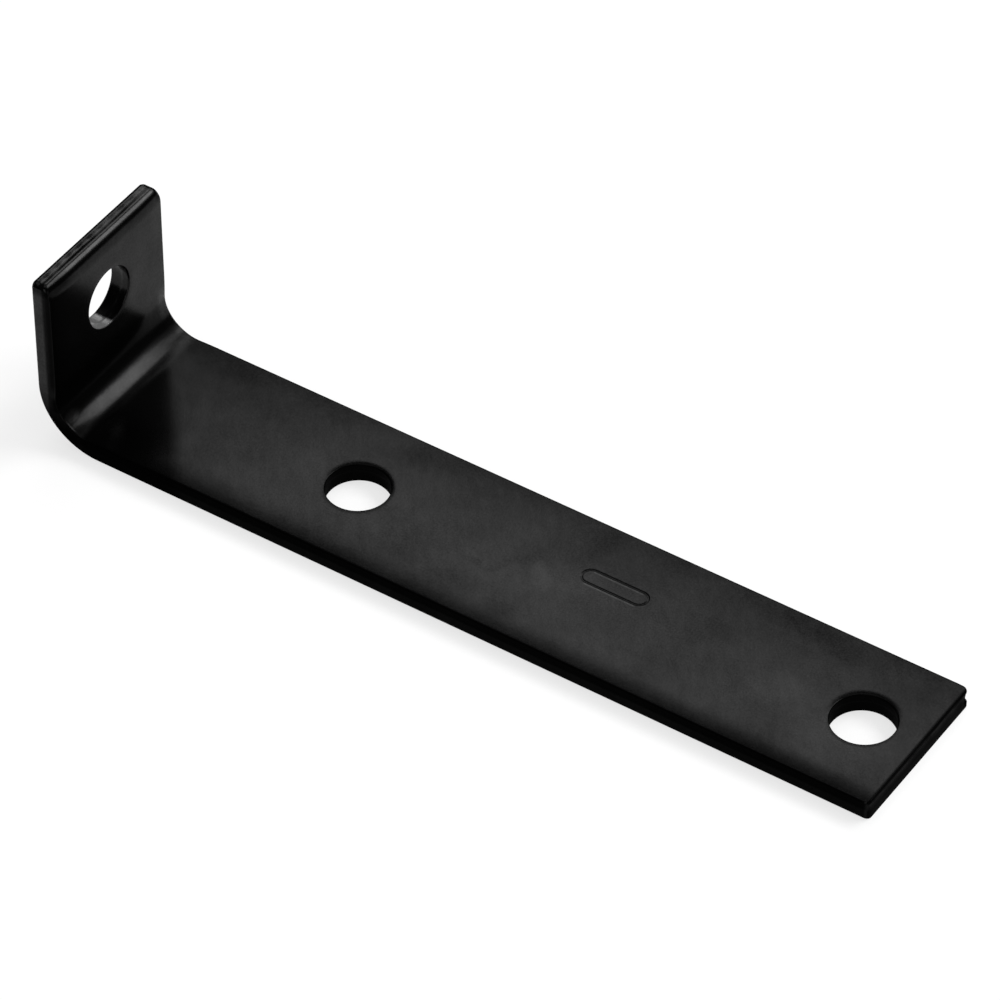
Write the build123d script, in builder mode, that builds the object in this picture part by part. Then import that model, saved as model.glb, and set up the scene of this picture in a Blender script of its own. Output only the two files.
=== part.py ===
# Corner brace: one strip of flat bar, sheared to length, punched with three holes,
# stamped with a small plain mark and folded square near one end.
# Origin: middle of the bounding box at the underside of the long leg.
# +X runs from the fold to the tip, +Z runs up the short leg, Y is the width.
import os

from build123d import *

# The strip
bar_width = 38.1
bar_thickness = 4.76
edge_round = 0.75  # rolled long edges, and the corners of the ends seen flat

# The two legs, measured over the outside of the fold
long_leg = 196.85
short_leg = 41.28
bend_inner = 7.94
bend_outer = 14.2  # larger than the inner radius would give, since the metal thins in the fold

# The punched holes
hole_diameter = 13.49
tip_margin = 12.7  # centre of the last hole to the tip
hole_spacing = 118.65  # between the two holes of the long leg
short_hole_height = 26.0  # centre of the short leg's hole above the underside
punch_roll = 0.2  # metal drawn in round the side that the punch enters
exit_break = 0.25  # burr taken off the side where the slug leaves

# The sheared ends. One half of each is torn, bevelled at its face and sunk to a groove where
# the smooth half begins. The two ends were cut from opposite sides, so the torn half is
# outside on the short leg and on top at the tip. The blade drew the smooth half's edge down
# in a large round on the short leg and left it crisp under the tip.
end_roll = 2.0
groove_centre = 1.95  # from the torn side's face
groove_width = 1.1
groove_depth = 0.26
torn_setback = 0.3  # bevel of the torn half, back from the end and in from its face
torn_bevel = 0.7
nick_size = 0.75  # chip at one corner of the tip, along the groove

# The plain stamped mark on the long leg, a line pressed in along an obround
mark_length = 15.0
mark_width = 3.8
mark_line = 0.7
mark_depth = 0.13
mark_from_heel = 124.3
mark_offset = 4.2

heel_x = -long_leg / 2
tip_x = long_leg / 2
inner_x = heel_x + bar_thickness
half_width = bar_width / 2
tip_hole_x = tip_x - tip_margin
cut_reach = 1.0  # how far the cutting shapes stand out past the metal

with BuildPart() as brace:
    # Side view of the folded strip
    with BuildSketch(Plane.XZ):
        with BuildLine():
            underside = Line((tip_x, 0), (heel_x + bend_outer, 0))
            outer_bend = JernArc(underside @ 1, underside % 1, bend_outer, -90)
            heel = Line(outer_bend @ 1, (heel_x, short_leg))
            top_end = Line(heel @ 1, (inner_x - end_roll, short_leg))
            top_roll = JernArc(top_end @ 1, top_end % 1, end_roll, -90)
            inner_face = Line(top_roll @ 1, (inner_x, bar_thickness + bend_inner))
            inner_bend = JernArc(inner_face @ 1, inner_face % 1, bend_inner, 90)
            upper_face = Line(inner_bend @ 1, (tip_x, bar_thickness))
            Line(upper_face @ 1, underside @ 0)
        make_face()
    extrude(amount=half_width, both=True)

    # Rolled edges, all the way round both sides of the strip
    fillet(brace.faces().filter_by(Axis.Y).edges(), edge_round)

    # Shear marks, cut from the side view: on each end the torn half's bevel and groove
    groove_near = groove_centre - groove_width / 2
    groove_far = groove_centre + groove_width / 2
    torn_half = [
        (-cut_reach, torn_setback),
        (0, torn_setback),
        (torn_bevel, 0),
        (groove_near, 0),
        (groove_centre, groove_depth),
        (groove_far, 0),
        (groove_far, -cut_reach),
        (-cut_reach, -cut_reach),
    ]
    with BuildSketch(Plane.XZ):
        with BuildLine():
            Polyline([(tip_x - back, bar_thickness - across) for across, back in torn_half], close=True)
        make_face()
    extrude(amount=half_width + cut_reach, both=True, mode=Mode.SUBTRACT)
    with BuildSketch(Plane.XZ):
        with BuildLine():
            Polyline([(heel_x + across, short_leg - back) for across, back in torn_half], close=True)
        make_face()
    extrude(amount=half_width + cut_reach, both=True, mode=Mode.SUBTRACT)

    # Chip at the far corner of the tip, a wedge that opens outwards along the groove
    with BuildSketch(
        Plane(
            (tip_x, half_width, bar_thickness - groove_centre), x_dir=(1, 1, 0), z_dir=(1, -1, 0)
        )
    ):
        with BuildLine():
            Polyline(
                (-2 * nick_size, 0), (nick_size, nick_size), (nick_size, -nick_size), close=True
            )
        make_face()
    extrude(amount=2 * nick_size, both=True, mode=Mode.SUBTRACT)

    # Punched holes
    with Locations(
        (tip_hole_x, 0, bar_thickness), (tip_hole_x - hole_spacing, 0, bar_thickness)
    ):
        Hole(hole_diameter / 2, depth=bar_thickness)
    long_rims = brace.edges(Select.LAST).filter_by(GeomType.CIRCLE)
    with Locations(Plane((inner_x, 0, short_hole_height), x_dir=(0, 1, 0), z_dir=(1, 0, 0))):
        Hole(hole_diameter / 2, depth=bar_thickness)
    short_rims = brace.edges(Select.LAST).filter_by(GeomType.CIRCLE)
    fillet(long_rims.group_by(Axis.Z)[-1] + short_rims.group_by(Axis.X)[-1], punch_roll)
    chamfer(long_rims.group_by(Axis.Z)[0] + short_rims.group_by(Axis.X)[0], exit_break)

    # Plain stamped mark
    with BuildSketch(Plane.XY.offset(bar_thickness)):
        with Locations((heel_x + mark_from_heel, mark_offset)):
            SlotOverall(mark_length + mark_line, mark_width + mark_line)
            SlotOverall(mark_length - mark_line, mark_width - mark_line, mode=Mode.SUBTRACT)
    extrude(amount=-mark_depth, mode=Mode.SUBTRACT)

brace.part.label = "brace"

os.makedirs("parts", exist_ok=True)
export_step(brace.part, "parts/brace.step")

box = brace.part.bounding_box()
print(f"brace {box.size.X:.2f} x {box.size.Y:.2f} x {box.size.Z:.2f} mm, {brace.part.volume:.0f} mm3")
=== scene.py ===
import math
import bmesh
import bpy
import numpy as np
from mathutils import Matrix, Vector


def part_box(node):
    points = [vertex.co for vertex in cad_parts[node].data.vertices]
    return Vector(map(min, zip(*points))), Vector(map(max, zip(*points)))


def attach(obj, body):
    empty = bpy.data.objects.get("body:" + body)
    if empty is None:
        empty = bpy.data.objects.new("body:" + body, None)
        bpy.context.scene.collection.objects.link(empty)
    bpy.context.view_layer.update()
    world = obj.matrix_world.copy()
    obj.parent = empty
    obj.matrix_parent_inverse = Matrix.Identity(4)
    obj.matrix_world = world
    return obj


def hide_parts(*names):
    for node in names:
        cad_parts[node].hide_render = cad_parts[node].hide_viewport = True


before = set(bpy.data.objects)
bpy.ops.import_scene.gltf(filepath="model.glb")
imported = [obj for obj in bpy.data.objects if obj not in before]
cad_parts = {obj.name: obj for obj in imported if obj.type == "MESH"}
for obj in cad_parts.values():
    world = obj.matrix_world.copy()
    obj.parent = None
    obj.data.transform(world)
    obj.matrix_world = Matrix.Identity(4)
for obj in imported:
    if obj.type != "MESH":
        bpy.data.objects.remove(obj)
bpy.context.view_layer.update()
print("frame loaded:", sorted(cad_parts))


# Camera: stands on the photo's side of the brace and looks down at it
cameraSetup = {
    "azimuth": 33.63,  # degrees, 0 looks along +Y
    "elevation": 43.12,
    "distance": 1.2285,
    "aim": (-0.00985, 0.01686, 0.0),
    "lens": 219.2,
}


def aimAt(thing, spot, aim):
    thing.location = Vector(spot)
    thing.rotation_mode = "QUATERNION"
    thing.rotation_quaternion = (Vector(aim) - Vector(spot)).to_track_quat("-Z", "Y")


def addCamera(setup):
    turn, rise = math.radians(setup["azimuth"]), math.radians(setup["elevation"])
    level = math.cos(rise)
    back = Vector((math.sin(turn) * level, -math.cos(turn) * level, math.sin(rise)))
    data = bpy.data.cameras.new("camera")
    data.lens = setup["lens"]
    data.sensor_width = 36.0
    data.clip_start, data.clip_end = 0.01, 60.0
    camera = bpy.data.objects.new("camera", data)
    bpy.context.collection.objects.link(camera)
    aimAt(camera, Vector(setup["aim"]) + back * setup["distance"], setup["aim"])
    bpy.context.scene.camera = camera


addCamera(cameraSetup)


# The brace's own sizes, in metres. Its length, width and height come from the frame.
braceSizes = {
    "thickness": 0.00476,
    "edgeRound": 0.00065,  # rolled long edges
    "cornerRound": 0.0013,  # corners of the ends seen flat
    "bendInner": 0.00794,
    "bendOuter": 0.0142,
    "endRoll": 0.0024,  # round that the shear drew down on the inner face of the short leg's end
    "endRollDown": 0.0036,
    "tornBack": 0.0003,  # bevel on the torn face of each end: along the bar and through it
    "tornDown": 0.0007,
    "tipUnder": 0.0002,  # crisp lower edge of the tip
    "holeRadius": 0.00675,
    "holeTaper": 0.00012,  # the torn part of a hole's wall is this much wider
    "punchRoll": 0.0002,
    "exitBreak": 0.0002,
    "dishWidth": 0.0013,  # the punch draws the face down a little around each hole
    "dishDepth": 0.00013,
    "shortHoleHeight": 0.026,
    "tipMargin": 0.0127,
    "holeSpacing": 0.11865,
    "markFromHeel": 0.1243,
    "markOffset": 0.0042,
    "markLength": 0.015,
    "markWidth": 0.0038,
    "acrossSteps": 76,  # faces across the width
    "bandSteps": 13,  # of them, on each side of the middle band that holds the holes and the mark
    "wallSteps": 44,  # faces through the thickness at the rim
    "cornerSteps": 8,
    "foldSlack": 0.0033,  # the legs are straight from this far past the fold's outer radius
    "foldRun": 0.0255,  # length given to the fold in the strip's own measure
    "foldLead": 0.004,  # of it, straight at each end
    "shear": {  # marks on the two ends
        "valleyAt": 0.0016,  # lowest line of the torn half, from the torn face
        "valleyDepth": 0.00021,
        "slopeWidth": 0.0008,  # the torn half falls to it
        "stepWidth": 0.00078,  # and steps up to the smooth half
        "wander": 0.00007,  # how far the valley strays across the width
        "wanderSize": 0.013,
        "coarse": 0.22,  # how much its depth varies, in coarse and in fine waves
        "coarseSize": 0.009,
        "fine": 0.1,
        "fineSize": 0.003,
        "reach": 0.0007,  # the marks fade out this far from the end
        "nickDepth": 0.0011,  # chip at the tip's far corner
        "nickReach": 0.0024,
        "nickTop": 0.001,  # where it begins, is deepest and ends below the upper skin
        "nickDeepest": 0.0032,
        "nickBottom": 0.0036,
        "nickRound": 0.0002,  # rounding of the corner above it
        "nickRoundDown": 0.0022,
    },
    "skin": {  # how the rolled faces fall to their edges
        "nearReach": 0.007,  # along the near edge, from the fold
        "nearTaper": 0.0031,  # how much narrower at the tip
        "nearSlope": 0.04,
        "farReach": 0.0085,
        "farFall": 0.0002,
        "crownReach": 0.014,  # across the fold
        "crownFall": 0.0005,
        "lipReach": 0.003,  # and at its near edge
        "lipFall": 0.00007,
        "swaySize": 0.028,  # slow sway along the bar
        "swayHeight": 0.000018,
        "rimFade": 0.0015,  # down the rim all of it fades out over this depth
    },
    "wall": {  # inside the punched holes
        "ridgeDown": 0.0015,  # ridge between the smooth land and the torn one
        "ridgeStray": 0.00014,
        "ridgeWidth": 0.0002,
        "ridgeHeight": 0.00002,
        "tornRun": 0.0006,  # the hole widens below it over this length
        "tearSize": 0.0019,
        "tearHeight": 0.00001,
        "fadeIn": 0.0004,  # ridge and tear set in below the punched round
        "fadeOut": 0.0003,  # and end above the broken edge
    },
    "groove": {"half": 0.00038, "depth": 0.00006, "field": 0.00001},  # the stamped line and its field
}

low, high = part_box("brace")
heelX, tipX, topZ = low.x, high.x, high.z
halfWidth = (high.y - low.y) / 2
thick = braceSizes["thickness"]
edgeRound = braceSizes["edgeRound"]
foldReach = braceSizes["bendOuter"] + braceSizes["foldSlack"]
foldRun = braceSizes["foldRun"]
foldTop = topZ - foldReach
foldEnd = foldTop + foldRun
stripLength = foldEnd + (tipX - heelX) - foldReach


def alongFromHeel(x):
    # place along the strip of a point of the long leg, x metres from the heel
    return foldEnd + x - foldReach


def waves(a, b, size, count, seed):
    # sum of sines of random direction and phase, about size long, scaled to about -1 to 1
    dice = np.random.default_rng(seed)
    total = np.zeros(np.broadcast(a, b).shape)
    directions, phases = dice.uniform(0, math.pi, count), dice.uniform(0, 2 * math.pi, count)
    for direction, phase, stretch in zip(directions, phases, dice.uniform(0.6, 1.7, count)):
        turned = (a * math.cos(direction) + b * math.sin(direction)) * 2 * math.pi / (size * stretch)
        total = total + np.sin(turned + phase)
    return total / math.sqrt(count)


def quarter(reach, width, drop):
    # how far a quarter ellipse falls short of its widest at a depth of reach below the skin: by its width
    # at the skin, and by nothing from drop on
    share = 1 - np.clip(reach / drop, 0, 1)
    return width * (1 - np.sqrt(np.maximum(1 - share * share, 0)))


def place(along, across, depth):
    # The strip bent to its side view: down the short leg, round a quarter circle and out along the long
    # leg, once for each skin with its own radius. Each point lies on the line between the two skins at its
    # place along the strip, at depth 0 on the inner, upper skin and at the bar's thickness on the outer.
    inner, outer = braceSizes["bendInner"], braceSizes["bendOuter"]
    arcStart, arcEnd = foldTop + braceSizes["foldLead"], foldEnd - braceSizes["foldLead"]
    angle = np.clip((along - arcStart) / (arcEnd - arcStart), 0, 1) * math.pi / 2
    sides = []
    for centre, radius in ((thick + inner, inner), (outer, outer)):
        upLeg = np.interp(along, [0, foldTop, arcStart], [topZ - centre, foldReach - centre, 0])
        alongLeg = np.interp(
            along, [arcEnd, foldEnd, stripLength], [0, foldReach - centre, tipX - heelX - centre]
        )
        sides.append((
            centre - radius * np.cos(angle) + alongLeg,
            centre - radius * np.sin(angle) + upLeg,
        ))
    share = depth / thick
    x = sides[0][0] * (1 - share) + sides[1][0] * share
    z = sides[0][1] * (1 - share) + sides[1][1] * share
    return heelX + x, across, z


def endShort(depth, atTip):
    # how far each level through the thickness stops short of the cut: a slight bevel on the torn face, and
    # on the other face the large round of the short leg's end or the crisp edge of the tip
    sizes = braceSizes
    fromTorn = depth if atTip else thick - depth
    bevel = sizes["tornBack"] * np.clip(1 - fromTorn / sizes["tornDown"], 0, 1) ** 1.3
    if atTip:
        return bevel + quarter(thick - fromTorn, sizes["tipUnder"], sizes["tipUnder"])
    return bevel + quarter(thick - fromTorn, sizes["endRollDown"], sizes["endRoll"])


def sideShort(depth):
    # and how far it stops short of the full width along the sides
    return quarter(depth, edgeRound, edgeRound) + quarter(thick - depth, edgeRound, edgeRound)


def cornerAt(depth):
    # radius of the ends' corners at each level
    return braceSizes["cornerRound"] - sideShort(depth)


def sheared(along, across, depth):
    # shear marks: within a short reach of each end the surface is pushed back by a lopsided bell curve
    # through the thickness, with one width on the torn side of its lowest line and one on the smooth side
    marks = braceSizes["shear"]
    pushed, flat = along, 0 * across
    for atTip, seed in ((False, 5), (True, 11)):
        gap = stripLength - along if atTip else along
        fromTorn = depth if atTip else thick - depth
        fade = np.clip(1 - (gap - endShort(depth, atTip)) / marks["reach"], 0, 1)
        fade = fade * fade * (3 - 2 * fade)
        offset = fromTorn - marks["valleyAt"]
        offset = offset - marks["wander"] * waves(across, flat, marks["wanderSize"], 5, seed)
        width = np.where(offset < 0, marks["slopeWidth"], marks["stepWidth"])
        coarse = waves(across, flat, marks["coarseSize"], 4, seed + 1)
        fine = waves(across, flat, marks["fineSize"], 4, seed + 2)
        strength = 1 + marks["coarse"] * coarse + marks["fine"] * fine
        push = marks["valleyDepth"] * strength * np.exp(-((offset / width) ** 2))
        pushed = pushed + fade * push * (-1 if atTip else 1)
    # the tip's far corner is pushed in along the diagonal: rounded off at the top, and chipped below by a
    # nick that deepens downwards and ends in a step
    top, deepest, bottom = marks["nickTop"], marks["nickDeepest"], marks["nickBottom"]
    reach = np.clip(1 - np.hypot(stripLength - along, halfWidth - across) / marks["nickReach"], 0, 1)
    rounded = marks["nickRound"] * np.clip(1 - depth / marks["nickRoundDown"], 0, 1)
    nick = np.clip((depth - top) / (deepest - top), 0, 1) ** 1.6
    nick = nick * np.clip((bottom - depth) / (bottom - deepest), 0, 1)
    chip = reach * (rounded + marks["nickDepth"] * nick)
    return pushed - chip * math.sqrt(0.5), across - chip * math.sqrt(0.5)


def dished(along, across):
    # how far the punch has drawn the face down around the holes: fully at the rim, and then by the square
    # of the share of the dish's width that is left
    fall = 0.0
    for name in ("shortHole", "middleHole", "tipHole"):
        centreAlong, centreAcross, halfSpine, radius = inset[name]
        beyond = np.hypot(along - centreAlong, across - centreAcross) - radius
        fall = fall + braceSizes["dishDepth"] * np.clip(1 - beyond / braceSizes["dishWidth"], 0, 1) ** 2
    return fall


def skinWaves(along, across, depth):
    # the rolled skin is never quite flat: it falls to both edges by about the square of the way out, and
    # sways slowly along the bar. In the fold its edges drop more, as bending crowns the inner side.
    skin = braceSizes["skin"]
    inward = halfWidth - edgeRound - np.abs(across)
    alongLeg = np.clip((along - foldEnd) / (stripLength - foldEnd), 0, 1)
    nearReach = skin["nearReach"] - skin["nearTaper"] * alongLeg
    near = np.clip(1 - inward / nearReach, 0, 1)
    far, crown, lip = (
        np.clip(1 - inward / skin[name], 0, 1) for name in ("farReach", "crownReach", "lipReach")
    )
    fold = np.clip(1 - ((along - (foldTop + foldEnd) / 2) / (foldRun / 2)) ** 2, 0, 1) ** 2
    sway = 0.5 + 0.25 * waves(along, across, skin["swaySize"], 6, 21)
    fall = np.where(across < 0, skin["nearSlope"] * nearReach * near**2, skin["farFall"] * far**2.2)
    lipFall = np.where(across < 0, skin["lipFall"], 0)
    fall = fall + fold * (skin["crownFall"] * crown**2 + lipFall * lip**2)
    return depth + fall + skin["swayHeight"] * sway + dished(along, across)


# Places along the strip where the face's blocks begin and end
shortHoleAt = topZ - braceSizes["shortHoleHeight"]
tipHoleAt = stripLength - braceSizes["tipMargin"]
middleHoleAt = tipHoleAt - braceSizes["holeSpacing"]
markAt = alongFromHeel(braceSizes["markFromHeel"])
# start of the block, faces along it, and what it holds
blocks = [
    ("plain", 0.0, 9),
    ("shortHole", 0.0042, 16),
    ("plain", foldTop, 44),
    ("plain", foldEnd, 26),
    ("middleHole", middleHoleAt - 0.0125, 20),
    ("plain", middleHoleAt + 0.0125, 26),
    ("mark", markAt - 0.0115, 20),
    ("plain", markAt + 0.0115, 26),
    ("tipHole", tipHoleAt - 0.0115, 17),
    ("plain", tipHoleAt + 0.0091, 8),
]
groove = braceSizes["groove"]
inset = {
    # centre along, centre across, half the straight length, end radius of what a block holds
    "shortHole": (shortHoleAt, 0.0, 0.0, braceSizes["holeRadius"]),
    "middleHole": (middleHoleAt, 0.0, 0.0, braceSizes["holeRadius"]),
    "tipHole": (tipHoleAt, 0.0, 0.0, braceSizes["holeRadius"]),
    "mark": (
        markAt,
        braceSizes["markOffset"],
        (braceSizes["markLength"] - braceSizes["markWidth"]) / 2,
        braceSizes["markWidth"] / 2,
    ),
}


def rowPlaces(depth):
    # places along the strip of every row of faces at one level; the end blocks give way to the ends' rounds
    starts = [start for name, start, count in blocks] + [stripLength]
    rows = []
    for index, (name, start, count) in enumerate(blocks):
        first, last = start, starts[index + 1]
        steps = np.linspace(0, 1, count + 1)
        if index == 0:
            first = endShort(depth, False) + cornerAt(depth)
            steps = steps**1.5
        if index == len(blocks) - 1:
            last = stripLength - endShort(depth, True) - cornerAt(depth)
            steps = 1 - (1 - steps) ** 1.5
        rows.append(first + (last - first) * (steps if index == 0 else steps[1:]))
    return np.concatenate(rows)


def columnTurns():
    # for every column of faces: its share of the straight part of the width, and its angle round the
    # corner, from nothing on the straight part to a right angle on the side
    straight = np.linspace(-1, 1, braceSizes["acrossSteps"] + 1)
    turn = np.linspace(0, math.pi / 2, braceSizes["cornerSteps"] + 1)[1:]
    share = np.concatenate([-np.ones(len(turn)), straight, np.ones(len(turn))])
    return share, np.concatenate([-turn[::-1], 0 * straight, turn])


columnShare, columnTurn = columnTurns()
straightHalf = halfWidth - braceSizes["cornerRound"]


def columnsAcross(depth):
    # every column's place across the width at one level
    return straightHalf * columnShare + cornerAt(depth) * np.sin(columnTurn)


def columnsBack(depth):
    # how far every column's end stops short of the middle of the end, round the corners
    return cornerAt(depth) * (1 - np.cos(columnTurn))


class Shell:
    # collects grids of points and joins them into one mesh
    def __init__(self):
        self.points = []
        self.faces = []
        self.total = 0

    def grid(self, x, y, z, closed=False):
        # a surface over two parameters; closed joins its last column to its first
        rows, columns = x.shape
        index = np.arange(rows * columns).reshape(rows, columns) + self.total
        if closed:
            index = np.concatenate([index, index[:, :1]], axis=1)
        quads = np.stack([index[:-1, :-1], index[:-1, 1:], index[1:, 1:], index[1:, :-1]], axis=-1)
        self.points.append(np.stack([x, y, z], axis=-1).reshape(-1, 3))
        self.faces.append(quads.reshape(-1, 4))
        self.total += rows * columns

    def finish(self, name):
        mesh = bpy.data.meshes.new(name)
        mesh.from_pydata(np.concatenate(self.points).tolist(), [], np.concatenate(self.faces).tolist())
        work = bmesh.new()
        work.from_mesh(mesh)
        bmesh.ops.remove_doubles(work, verts=work.verts, dist=1e-6)
        bmesh.ops.dissolve_degenerate(work, edges=work.edges, dist=1e-7)
        bmesh.ops.recalc_face_normals(work, faces=work.faces)
        openEdges = sum(not edge.is_manifold for edge in work.edges)
        print(name, "faces", len(work.faces), "open edges", openEdges)
        work.to_mesh(mesh)
        work.free()
        mesh.shade_smooth()
        piece = bpy.data.objects.new(name, mesh)
        bpy.context.collection.objects.link(piece)
        return piece


def skinPoint(along, across, level):
    # a point of the inner skin (level 0) or outer skin (level 1), with the shear marks and slow waves
    depth = np.full(np.shape(along), level * thick)
    moved, over = sheared(along, across, depth)
    if level == 0:
        depth = skinWaves(along, across, depth)
    return place(moved, over, depth)


def bandOf(across):
    # the columns of the middle band
    skip = braceSizes["cornerSteps"] + braceSizes["bandSteps"]
    return slice(skip, len(across) - skip)


def blockEdge(rows, across):
    # the block's border as one closed run of points, starting at its first row
    inner, flat = rows[1:-1], np.ones(len(across))
    along = np.concatenate([rows[0] * flat, inner, rows[-1] * flat, inner[::-1]])
    side = np.ones(len(inner))
    return along, np.concatenate([across, across[-1] * side, across[::-1], across[0] * side])


def outlineOf(borderAlong, borderAcross, held, grow=0.0):
    # each border point drawn straight in to the outline of the hole or mark: towards the nearest point of
    # its spine, which is a single point for a round hole
    centreAlong, centreAcross, halfSpine, radius = held
    a, b = borderAlong - centreAlong, borderAcross - centreAcross
    spine = np.clip(a, -halfSpine, halfSpine)
    reach = np.hypot(a - spine, b)
    share = (radius + grow) / reach
    return centreAlong + spine + (a - spine) * share, centreAcross + b * share


def addBlock(shell, name, rows, across, level, endAt=None):
    # one block of a skin: a plain grid, or rings between the block's border and what it holds. The end
    # blocks' rows bend round the corners by the share of their way to the end.
    if name == "plain" or (name == "mark" and level == 1):
        along, over = np.meshgrid(rows, across, indexing="ij")
        if endAt is not None:
            far, near = (rows[0], rows[-1]) if endAt == 0 else (rows[-1], rows[0])
            reach = (along - near) / (far - near)
            corner = cornerAt(level * thick)
            along = along + (1 if endAt else -1) * reach * (corner - columnsBack(level * thick))
        shell.grid(*skinPoint(along, over, level))
        return
    middle = bandOf(across)
    for side in (across[: middle.start + 1], across[middle.stop - 1 :]):
        shell.grid(*skinPoint(*np.meshgrid(rows, side, indexing="ij"), level))
    borderAlong, borderAcross = blockEdge(rows, across[middle])
    if name == "mark":
        rim = groove["half"]
    else:
        rim = braceSizes["punchRoll"] if level == 0 else braceSizes["exitBreak"] + braceSizes["holeTaper"]
    innerAlong, innerAcross = outlineOf(borderAlong, borderAcross, inset[name], rim)
    ring = (np.linspace(0, 1, 11) ** 1.6)[:, None]
    along = innerAlong + (borderAlong - innerAlong) * ring
    over = innerAcross + (borderAcross - innerAcross) * ring
    shell.grid(*skinPoint(along, over, level), closed=True)


def addHoleWall(shell, name, rows, across):
    # the wall of a punched hole: a round where the punch drew the metal in, a smooth cut land, a small
    # ridge, and a wider torn land that ends in a broken edge
    borderAlong, borderAcross = blockEdge(rows, across[bandOf(across)])
    roll, crisp, taper = braceSizes["punchRoll"], braceSizes["exitBreak"], braceSizes["holeTaper"]
    turn = np.linspace(0, math.pi / 2, 7)
    depth = np.concatenate([
        roll * (1 - np.cos(turn)), np.linspace(roll, thick - crisp, 20)[1:], [thick - crisp / 2, thick]
    ])
    grow = np.concatenate([roll * (1 - np.sin(turn)), np.zeros(19), [crisp / 2, crisp]])
    depth, grow = depth[:, None], grow[:, None]
    held, wall = inset[name], braceSizes["wall"]
    around = np.arctan2(borderAcross - held[1], borderAlong - held[0])
    ridgeAt = wall["ridgeDown"] + wall["ridgeStray"] * waves(around, 0 * around, 1.9, 4, 31)
    onWall = np.clip((depth - roll) / wall["fadeIn"], 0, 1)
    onWall = onWall * np.clip((thick - depth - crisp) / wall["fadeOut"], 0, 1)
    torn = np.clip((depth - ridgeAt) / wall["tornRun"], 0, 1)
    tear = waves(around * 0.0068, depth * 0.3, wall["tearSize"], 8, 33)  # stretched along the hole
    ridge = np.exp(-(((depth - ridgeAt) / wall["ridgeWidth"]) ** 2))
    grow = grow + taper * torn + onWall * (wall["tearHeight"] * tear * torn - wall["ridgeHeight"] * ridge)
    along, over = outlineOf(borderAlong[None, :], borderAcross[None, :], held, grow)
    depth = np.broadcast_to(depth, along.shape)
    swayed = skinWaves(along, over, 0 * depth) * (1 - depth / thick)
    shell.grid(*place(along, over, depth + swayed), closed=True)


def addMark(shell, rows, across):
    # the stamped obround: a line pressed in with a rounded bottom and soft shoulders, worked out from
    # the distance to its middle, around a field that lies a hair below the skin
    borderAlong, borderAcross = blockEdge(rows, across[bandOf(across)])
    half = groove["half"]
    grow = np.linspace(half, -half, 15)
    pressed = 0.5 + 0.5 * np.cos(np.clip(grow / half, -1, 1) * math.pi)
    field = groove["field"] * np.clip((half - grow) / (2 * half), 0, 1)
    held = inset["mark"]
    along, over = outlineOf(borderAlong[None, :], borderAcross[None, :], held, grow[:, None])
    level = np.broadcast_to((groove["depth"] * pressed + field)[:, None], along.shape)
    share = np.linspace(1, 0, 7)[:, None]
    innerAlong, innerAcross = outlineOf(
        borderAlong[None, :], borderAcross[None, :], held, (held[3] - half) * share - held[3]
    )
    innerLevel = np.full(innerAlong.shape, groove["field"])
    for a, b, c in ((along, over, level), (innerAlong, innerAcross, innerLevel)):
        shell.grid(*place(a, b, c + skinWaves(a, b, 0 * a)), closed=True)


def addRim(shell):
    # the strip's rim, level by level through the thickness: along one side, round the tip, back along the
    # other side and round the short leg's end
    steps = np.arange(braceSizes["wallSteps"] + 1) / braceSizes["wallSteps"]
    levels = thick * (1 - np.cos(steps * math.pi)) / 2
    loops = []
    for depth in levels:
        rows = rowPlaces(depth)
        side = np.full(len(rows), halfWidth - sideShort(depth))
        over, back = columnsAcross(depth)[1:-1], columnsBack(depth)[1:-1]
        tipEnd, topEnd = stripLength - endShort(depth, True), endShort(depth, False)
        along = np.concatenate([rows, tipEnd - back, rows[::-1], topEnd + back])
        across = np.concatenate([side, over[::-1], -side, over])
        loops.append((along, across, np.full(len(along), depth)))
    along, across, depth = (np.array(part) for part in zip(*loops))
    moved, over = sheared(along, across, depth)
    fade = np.clip(1 - depth / braceSizes["skin"]["rimFade"], 0, 1)
    waved = depth + skinWaves(along, across, 0 * depth) * fade
    shell.grid(*place(moved, over, waved), closed=True)


def buildBrace():
    shell = Shell()
    for level in (0, 1):
        rows = rowPlaces(level * thick)
        across = columnsAcross(level * thick)
        start = 0
        for index, (name, begins, count) in enumerate(blocks):
            part = rows[start : start + count + 1]
            endAt = {0: 0, len(blocks) - 1: 1}.get(index)
            addBlock(shell, name, part, across, level, endAt)
            if level == 0 and name.endswith("Hole"):
                addHoleWall(shell, name, part, across)
            if level == 0 and name == "mark":
                addMark(shell, part, across)
            start += count
    addRim(shell)
    return shell.finish("braceBody")


braceBody = buildBrace()
print("brace surface worked out")


class Signal:
    # one value in a material, so that shader maths can be written as plain expressions
    def __init__(self, recipe, socket):
        self.recipe = recipe
        self.socket = socket

    def __add__(self, other):
        return self.recipe.maths("ADD", self, other)

    def __radd__(self, other):
        return self.recipe.maths("ADD", other, self)

    def __sub__(self, other):
        return self.recipe.maths("SUBTRACT", self, other)

    def __rsub__(self, other):
        return self.recipe.maths("SUBTRACT", other, self)

    def __mul__(self, other):
        return self.recipe.maths("MULTIPLY", self, other)

    def __rmul__(self, other):
        return self.recipe.maths("MULTIPLY", other, self)

    def __truediv__(self, other):
        return self.recipe.maths("DIVIDE", self, other)

    def __abs__(self):
        return self.recipe.maths("ABSOLUTE", self)


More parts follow.
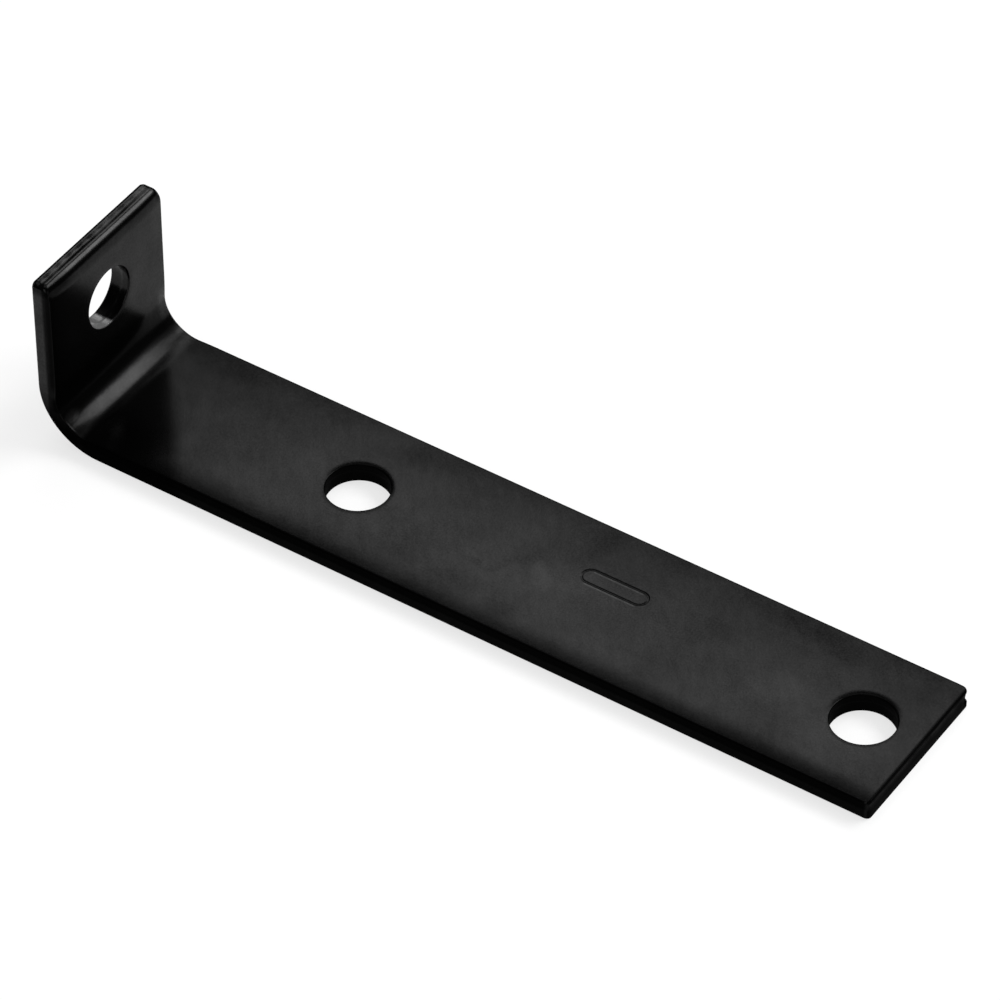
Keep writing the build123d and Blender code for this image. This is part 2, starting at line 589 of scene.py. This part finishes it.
class Recipe:
    # a material, the one way to add a node to it, and the patterns made of several nodes
    def __init__(self, name):
        self.material = bpy.data.materials.new(name)
        self.material.use_nodes = True
        self.tree = self.material.node_tree
        self.tree.nodes.clear()

    def node(self, kind, settings=None, inputs=None):
        # adds a node: first its settings, then the value or link of each socket
        made = self.tree.nodes.new(kind)
        for name, value in (settings or {}).items():
            setattr(made, name, value)
        for name, value in (inputs or {}).items():
            if isinstance(value, Signal):
                self.tree.links.new(value.socket, made.inputs[name])
            else:
                made.inputs[name].default_value = value
        return made

    def signal(self, kind, output, settings=None, inputs=None):
        # adds a node and hands on one of its outputs
        return Signal(self, self.node(kind, settings, inputs).outputs[output])

    def maths(self, operation, first, second=0.0):
        return self.signal("ShaderNodeMath", 0, {"operation": operation}, {0: first, 1: second})

    def within(self, value):
        # held between 0 and 1
        return self.signal("ShaderNodeClamp", "Result", {}, {"Value": value})

    def disc(self, a, b, radius, softness=0.0001):
        # 1 inside a circle of this radius, 0 outside it
        return self.within((radius * radius - a * a - b * b) / (radius * 2 * softness))

    def region(self, axes, limits):
        # the product of a region's soft limits
        parts = [self.within((axes[axis] - edge) / length) for axis, edge, length in limits]
        return math.prod(parts[1:], start=parts[0])

    def noise(self, position, size, detail=2.0, roughness=0.5):
        # soft noise whose features are about size metres across, centred on 0
        inputs = {"Vector": position, "Scale": 1 / size, "Detail": detail, "Roughness": roughness}
        return self.signal("ShaderNodeTexNoise", "Fac", {"noise_dimensions": "3D"}, inputs) - 0.5

    def surface(self, share, first, second):
        # the material's surface: two shaders, mixed by the share of the second
        mixed = self.signal("ShaderNodeMixShader", "Shader", {}, {"Fac": share, 1: first, 2: second})
        self.node("ShaderNodeOutputMaterial", {}, {"Surface": mixed})


# Satin black coat: a dull black and a glossy black, mixed by how much gloss there is at each place
# In many regions its gloss is lowered as painted shade or raised as painted highlights and sheen
coat = {
    "black": 0.0006,
    "gloss": 0.2,
    "roughness": 0.2,
    "roughnessSway": 0.05,
    "cloudSize": 0.012,  # soft mottling of the gloss
    "cloudStrength": 1.1,
    "driftSize": 0.0372,  # and slower mottling under it
    "driftShare": 0.6,
    "speckSize": 0.0004,
    "speckStrength": 1.0,
    "wipeSize": 0.0016,  # faint streaks across the long leg
    "wipeStrength": 0.4,
    "wipeTurn": -0.9,  # radians
    "wipeStretch": 4.0,
    "peelSize": 0.0016,  # fine unevenness of the coat
    "peelHeight": 0.0000044,
    "swirlSize": 0.00576,
    "swirlHeight": 0.000012,
    "tornSize": 0.00042,  # grain of the torn halves of the two ends
    "tornHeight": 0.000016,
    "holeGlintTone": 0.12,  # grey painted low in the short leg's hole as a painted highlight, in place of a bright reflection
    "tipPaintedShade": 0.7,  # share of the gloss taken away on the tip's cut end, as painted shade
    "tipBandPaintedShade": 0.15,  # and more above and below the middle of it
    "innerEdgePaintedShade": 0.62,  # painted shade on the inner half of the long edges
    "outerEdgePaintedSheen": 0.3,  # and painted sheen gained on their outer half
    "longLegPaintedShade": 0.13,  # painted shade on the long leg's upper face
    "farSidePaintedShade": 0.2,  # and more on its far half
    "paintedSheenAndShade": {  # share of the gloss gained as painted highlights or lost as painted shade in other regions
        "longLegHoles": -0.88,
        "holePaintedGlint": 6.0,
        "shortLegPaintedSheen": 0.55,
        "lowFacePaintedShade": -0.68,
        "highFoldPaintedShade": -0.72,
        "farRimPaintedHighlight": 0.9,
        "endSpotPaintedHighlight": 5.0,
        "topCornersPaintedShade": -0.6,
        "byFoldPaintedShade": -0.32,
        "footPaintedShade": -0.5,
        "footNearPaintedShade": -0.4,
        "lowEdgesPaintedShade": -0.85,
        "farFoldPaintedShade": -0.62,
        "nearFoldPaintedShade": -0.38,
        "markLinePaintedHighlight": 1.3,
    },
    # marks on the long leg's upper face, partly handling wear and partly painted sheen and shade: from the
    # heel, from the middle, length, width, angle in degrees, and the share of gloss gained or lost in the
    # middle of each
    "wearAndPaintedSheen": [
        (0.1105, -0.0010, 0.0100, 0.0044, -51, 0.32),
        (0.1150, -0.0015, 0.0080, 0.0030, -12, 0.12),
        (0.1030, -0.0015, 0.0130, 0.0034, 63, -0.14),
        (0.0985, -0.0052, 0.0110, 0.0018, -8, -0.18),
        (0.0955, -0.0033, 0.0060, 0.0014, -20, 0.16),
        (0.0894, 0.0107, 0.0080, 0.0040, 15, 0.12),
        (0.1650, -0.0026, 0.0140, 0.0100, 30, 0.20),
        (0.1846, -0.0080, 0.0300, 0.0160, 10, 0.26),
        (0.1740, 0.0020, 0.0220, 0.0200, 0, 0.18),
        (0.1350, -0.0115, 0.0120, 0.0040, 5, 0.16),
        (0.1087, -0.0136, 0.0090, 0.0050, 0, -0.28),
        (0.1655, 0.0150, 0.0340, 0.0080, -3, -0.32),
        (0.0725, 0.0136, 0.0160, 0.0080, 10, -0.22),
        (0.1160, 0.0140, 0.0140, 0.0070, 0, -0.18),
        (0.0220, 0.0150, 0.0220, 0.0080, -5, -0.22),
        (0.1480, 0.0060, 0.0140, 0.0080, 20, -0.12),
        (0.0980, 0.0010, 0.0500, 0.0200, 0, 0.12),
        (0.0980, -0.0120, 0.0600, 0.0090, 0, -0.16),
        (0.1400, -0.0040, 0.0420, 0.0260, 0, -0.14),
        (0.0185, -0.0145, 0.0130, 0.0130, 0, -0.75),
    ],
    "wearAndPaintedSheenStray": (0.005, 0.003),  # how far the coat's unevenness bends their outlines
    "holeMargin": 0.0003,  # a hole's painted shade reaches this far past its radius
    "tipMiddle": 0.0032,  # middle of the tip's cut end, above the floor
    "holeGlintSlant": 1.5,  # rise of the painted glint's upper edge across the hole
    "faceSlant": 0.891,  # run of the edge of the low face's painted shade for its rise
    "footSlant": (0.69, 0.9),  # run of the edge of the foot's painted shade across the bar, on the near side and the far side
    "spotAt": (0.0065, -0.0168),  # small painted highlight spot: from the heel and the middle, and half its size
    "spotHalf": (0.000909, 0.0025),
    "markSlopeAt": 0.00056,  # the stamped line's slope that faces back, from the line's middle; a painted highlight runs along it
}
# Regions of the coat, in metres, most of them places where the gloss is lowered as painted shade or raised
# as painted highlights. A limit gives an axis, where the region begins on it and over what length it sets
# in;
# with a length below 0 the region ends there. Along is measured from the heel, across from the middle of
# the width, aside is the same without its sign, up is from the floor and inward from the inner skin.
# makeCoat sets out the other axes.
regions = {
    "endTorn": [("up", topZ - 0.0008, 0.0004), ("along", 0.0022, -0.0005)],
    "tipEnd": [("along", tipX - heelX - 0.0008, 0.0004)],
    "tipTorn": [("up", thick - 0.0022, 0.0005)],
    # painted shade in bands above and below the middle of the tip's end
    "tipBandsPaintedShade": [("offTipMiddle", 0.0006, 0.0005)],
    "edges": [("aside", halfWidth - 0.0003, 0.0003)],
    "innerHalf": [("inward", thick * 0.53, -0.0006)],
    # painted shade on the low edges along the long leg
    "lowEdgesPaintedShade": [("up", 0.013, -0.007)],
    "upperFace": [("up", thick - 0.0008, 0.0004), ("up", thick + 0.001, -0.0006)],
    "longLeg": [("along", 0.0105, 0.002)],
    "farSide": [("across", 0.0, 0.011)],
    # painted shade in the long leg's holes
    "longLegHoles": [("up", thick - 0.00007, -0.00014)],
    "shortLegHole": [("along", thick, -0.0003)],
    # painted highlight low in the short leg's hole
    "holePaintedGlint": [("holeGlintSlant", braceSizes["shortHoleHeight"] - 0.0055, -0.002)],
    # painted sheen over the short leg above the fold
    "shortLegPaintedSheen": [("up", 0.012, 0.004)],
    "lowFacePaintedShade": [  # low and near on the short leg's inner face, where the gloss is cut as painted shade
        ("faceSlant", 0.0216, -0.004),
        ("up", 0.0125, 0.003),
        ("along", thick + 0.0001, -0.0004),
        ("along", thick * 0.55, 0.001),
    ],
    # painted shade at the short leg's top corners
    "topCornersPaintedShade": [("up", 0.0383, 0.0014)],
    "farCorner": [("across", 0.0172, 0.0008)],
    "highFoldPaintedShade": [  # high in the fold, where it meets the short leg, where the gloss is cut as painted shade
        ("across", 0.0175, -0.011),
        ("up", 0.0083, 0.0005),
        ("up", 0.0128, -0.0015),
        ("along", 0.0075, -0.0005),
        ("along", 0.003, 0.001),
    ],
    # painted shade fading the far part of the fold's highlight
    "farFoldPaintedShade": [
        ("along", 0.0102, -0.0009),
        ("along", 0.0062, 0.0008),
        ("across", 0.002, 0.011),
        ("across", 0.0195, -0.003),
    ],
    # and painted shade fading its near part
    "nearFoldPaintedShade": [("along", 0.0102, -0.0009), ("along", 0.0062, 0.0008), ("across", -0.0095, -0.006)],
    # painted highlight along the far rim of the fold and the short leg
    "farRimPaintedHighlight": [("across", 0.0155, 0.0015), ("up", 0.0066, 0.0015), ("up", 0.0165, -0.003)],
    "endSpotPaintedHighlight": [("spotRing", 1.0, -1.0), ("up", 0.0055, 0.001)],  # a small painted highlight spot at the fold's near edge
    # painted shade on the long leg beside the fold
    "byFoldPaintedShade": [("along", 0.056, -0.034), ("up", thick + 0.0007, -0.0005)],
    "footPaintedShade": [  # a wedge of painted shade at the foot of the fold
        ("footSlant", 0.0226, -0.004),
        ("along", 0.0098, 0.0012),
        ("up", thick + 0.0012, -0.0005),
    ],
    # more painted shade on the near side of the foot
    "footNearPaintedShade": [("across", -0.002, -0.006)],
    # painted highlight along the stamped line
    "markLinePaintedHighlight": [("markSlope", 0.00024, -0.00012), ("pastMark", 0.0005, -0.0008)],
}


def makeCoat(values):
    recipe = Recipe("satinBlackCoat")
    position = recipe.signal("ShaderNodeTexCoord", "Object")
    apart = recipe.node("ShaderNodeSeparateXYZ", {}, {"Vector": position})
    x, across, up = (Signal(recipe, apart.outputs[name]) for name in "XYZ")
    along = x - heelX
    cloud = recipe.noise(position, values["cloudSize"], detail=6.0, roughness=0.68)
    drift = recipe.noise(position, values["driftSize"])
    speck = recipe.noise(position, values["speckSize"])
    peel = recipe.noise(position, values["peelSize"])
    swirl = recipe.noise(position, values["swirlSize"], detail=3.0)
    torn = recipe.noise(position, values["tornSize"], detail=3.0, roughness=0.6)

    # the stamped line: distance outwards from the middle of the line, which runs round an obround
    centreAlong, centreAcross, halfSpine, radius = inset["mark"]
    pastMark = recipe.maths("MAXIMUM", abs(along - braceSizes["markFromHeel"]) - halfSpine)
    offMark = across - centreAcross
    outward = recipe.maths("SQRT", pastMark * pastMark + offMark * offMark) - radius
    spotAlong = (along - values["spotAt"][0]) / values["spotHalf"][0]
    spotAcross = (across - values["spotAt"][1]) / values["spotHalf"][1]
    nearSlant, farSlant = values["footSlant"]
    axes = {
        "along": along,
        "across": across,
        "aside": abs(across),
        "up": up,
        "inward": recipe.maths("MAXIMUM", thick - along, thick - up),
        "offTipMiddle": abs(up - values["tipMiddle"]),
        "holeGlintSlant": up + across * values["holeGlintSlant"],
        "faceSlant": (up - thick) * values["faceSlant"] + across,
        "footSlant": along + recipe.maths("MAXIMUM", across * nearSlant, across * farSlant),
        "spotRing": spotAlong * spotAlong + spotAcross * spotAcross,
        "pastMark": pastMark,
        "markSlope": abs(outward + recipe.maths("SIGN", offMark) * values["markSlopeAt"]),
    }
    on = {name: recipe.region(axes, limits) for name, limits in regions.items()}

    # inside a hole: nearer to its axis than its rim. These masks place the holes' painted shade and the
    # painted glint low in the short leg's hole.
    reach = braceSizes["holeRadius"] + values["holeMargin"]
    tipHole = tipX - heelX - braceSizes["tipMargin"]
    middleHole = tipHole - braceSizes["holeSpacing"]
    inLongLeg = recipe.disc(along - tipHole, across, reach) + recipe.disc(along - middleHole, across, reach)
    inShortLeg = recipe.disc(up - braceSizes["shortHoleHeight"], across, reach)
    on["longLegHoles"] = on["longLegHoles"] * inLongLeg
    on["holePaintedGlint"] = on["holePaintedGlint"] * on["shortLegHole"] * inShortLeg
    on["topCornersPaintedShade"] = on["topCornersPaintedShade"] * recipe.maths("MAXIMUM", on["farCorner"], on["edges"])
    on["lowEdgesPaintedShade"] = on["lowEdgesPaintedShade"] * on["edges"]
    on["footNearPaintedShade"] = on["footNearPaintedShade"] * on["footPaintedShade"]
    on["markLinePaintedHighlight"] = on["markLinePaintedHighlight"] * on["upperFace"]

    # gloss taken away as painted shade and added as painted highlights, region by region
    gain, loss = values["outerEdgePaintedSheen"], values["innerEdgePaintedShade"]
    tipPaintedShade = on["tipEnd"] * (values["tipPaintedShade"] + on["tipBandsPaintedShade"] * values["tipBandPaintedShade"])
    # painted shade on the inner half of the long edges and painted sheen on their outer half
    edgePaintedSheenAndShade = on["edges"] * (gain - on["innerHalf"] * (gain + loss))
    # painted shade on the long leg's upper face, more on its far half
    legPaintedShade = on["farSide"] * values["farSidePaintedShade"] + values["longLegPaintedShade"]
    amount = (1 - tipPaintedShade) * (1 + edgePaintedSheenAndShade) * (1 - on["longLeg"] * on["upperFace"] * legPaintedShade)
    for name, change in values["paintedSheenAndShade"].items():
        amount = amount * (1 + on[name] * change)

    # the marks on the upper face, partly handling wear and partly painted sheen and shade: soft ellipses
    # with strayed outlines
    wearAndPaintedSheenMarks = 0.0
    strayAlong, strayAcross = values["wearAndPaintedSheenStray"]
    for fromHeel, fromMiddle, length, width, angle, share in values["wearAndPaintedSheen"]:
        cosine, sine = math.cos(math.radians(angle)), math.sin(math.radians(angle))
        a = along + swirl * strayAlong - fromHeel
        b = across + peel * strayAcross - fromMiddle
        lengthways = (a * cosine + b * sine) * (2 / length)
        sideways = (b * cosine - a * sine) * (2 / width)
        wearAndPaintedSheenMarks = recipe.within(1 - lengthways * lengthways - sideways * sideways) * share + wearAndPaintedSheenMarks
    streaks = recipe.signal(
        "ShaderNodeMapping",
        "Vector",
        {"vector_type": "TEXTURE"},
        {
            "Vector": position,
            "Rotation": (0.0, 0.0, values["wipeTurn"]),
            "Scale": (values["wipeStretch"], 1.0, 1.0),
        },
    )
    wipe = recipe.noise(streaks, values["wipeSize"], detail=3.0)
    mottle = (
        (cloud + drift * values["driftShare"]) * values["cloudStrength"]
        + speck * values["speckStrength"]
        + (wipe * values["wipeStrength"] + wearAndPaintedSheenMarks) * on["upperFace"]
    )
    height = (
        peel * values["peelHeight"]
        + swirl * values["swirlHeight"]
        + torn * (on["endTorn"] + on["tipEnd"] * on["tipTorn"]) * values["tornHeight"]
    )
    bump = recipe.signal(
        "ShaderNodeBump", "Normal", {}, {"Strength": 1.0, "Distance": 1.0, "Height": height}
    )
    # the grey base colour low in the short leg's hole is a painted highlight
    dull, glossy = (
        recipe.signal("ShaderNodeBsdfPrincipled", "BSDF", {}, {
            "Base Color": on["holePaintedGlint"] * values["holeGlintTone"] + values["black"],
            "Roughness": values["roughness"] + drift * values["roughnessSway"],
            "Specular IOR Level": level,
            "Normal": bump,
        })
        for level in (0.0, 0.5)
    )
    recipe.surface(recipe.within(values["gloss"] * (1 + mottle) * amount), dull, glossy)
    return recipe.material


braceBody.data.materials.append(makeCoat(coat))
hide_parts("brace")
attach(braceBody, "root")
print("coat on the brace")


# Pale floor
floorSetup = {
    "size": 9.0,
    "colour": (0.93, 0.93, 0.93, 1.0),
    "glow": 0.7,  # share of plain white that the camera and reflections see in it
}


def addFloor(setup):
    half = setup["size"] / 2
    corners = [(-half, -half, 0), (half, -half, 0), (half, half, 0), (-half, half, 0)]
    mesh = bpy.data.meshes.new("floor")
    mesh.from_pydata(corners, [], [(0, 1, 2, 3)])
    floor = bpy.data.objects.new("floor", mesh)
    bpy.context.collection.objects.link(floor)
    recipe = Recipe("paleFloor")
    lit = recipe.signal("ShaderNodeBsdfDiffuse", "BSDF", {}, {"Color": setup["colour"]})
    white = recipe.signal(
        "ShaderNodeEmission", "Emission", {}, {"Color": (1.0, 1.0, 1.0, 1.0), "Strength": 1.0}
    )
    rays = recipe.node("ShaderNodeLightPath")
    seen, mirrored, through = (
        Signal(recipe, rays.outputs[name])
        for name in ("Is Camera Ray", "Is Glossy Ray", "Is Transmission Ray")
    )
    recipe.surface(recipe.within(seen + mirrored + through) * setup["glow"], lit, white)
    floor.data.materials.append(recipe.material)


addFloor(floorSetup)


# Studio: soft panels, all turned to the brace. Each gives its turn from +X towards +Y, its rise above the
# floor, the angles it fills across and up, all in degrees, its radiance, and whether gloss mirrors it.
# One that it doesn't mirror only lights the floor.
studio = {
    "distance": 3.0,
    "sky": 0.03,  # grey of the world between the panels
    "panels": {
        "rightBackPanel": (58.0, 47.3, 48.0, 22.4, 9.4, True),
        "leftBackPanel": (109.0, 45.0, 50.0, 9.5, 5.5, True),
        "rightStrip": (68.0, 33.0, 48.0, 13.0, 1.9, True),
        "leftStrip": (116.0, 33.0, 48.0, 13.0, 1.9, True),
        "topPanel": (108.0, 80.0, 130.0, 34.0, 0.9, True),
        "frontPanel": (-72.0, 32.0, 44.0, 34.0, 2.2, True),
        "leftSidePanel": (182.0, 17.0, 40.0, 22.0, 1.0, True),
        "rightSidePanel": (-9.0, 17.0, 36.0, 22.0, 1.0, True),
        "floorPanel": (108.0, 78.0, 60.0, 50.0, 0.7, False),
    },
}


def addLights(setup):
    distance, tone = setup["distance"], setup["sky"]
    for name, (turn, rise, spanAcross, spanUp, radiance, mirrored) in setup["panels"].items():
        turn, rise = math.radians(turn), math.radians(rise)
        level = math.cos(rise)
        toward = Vector((math.cos(turn) * level, math.sin(turn) * level, math.sin(rise)))
        across, up = (2 * distance * math.tan(math.radians(angle / 2)) for angle in (spanAcross, spanUp))
        if mirrored:
            across *= level
        data = bpy.data.lights.new(name, "AREA")
        data.shape = "RECTANGLE"
        data.size, data.size_y = across, up
        data.energy = radiance * math.pi * across * up  # radiance to watts
        light = bpy.data.objects.new(name, data)
        light.visible_glossy = mirrored
        bpy.context.collection.objects.link(light)
        aimAt(light, toward * distance, (0.0, 0.0, 0.0))
    world = bpy.data.worlds.new("studio")
    world.use_nodes = True
    world.node_tree.nodes["Background"].inputs["Color"].default_value = (tone, tone, tone, 1.0)
    bpy.context.scene.world = world


addLights(studio)
bpy.context.scene.view_settings.view_transform = "Standard"
print("floor and lights set")
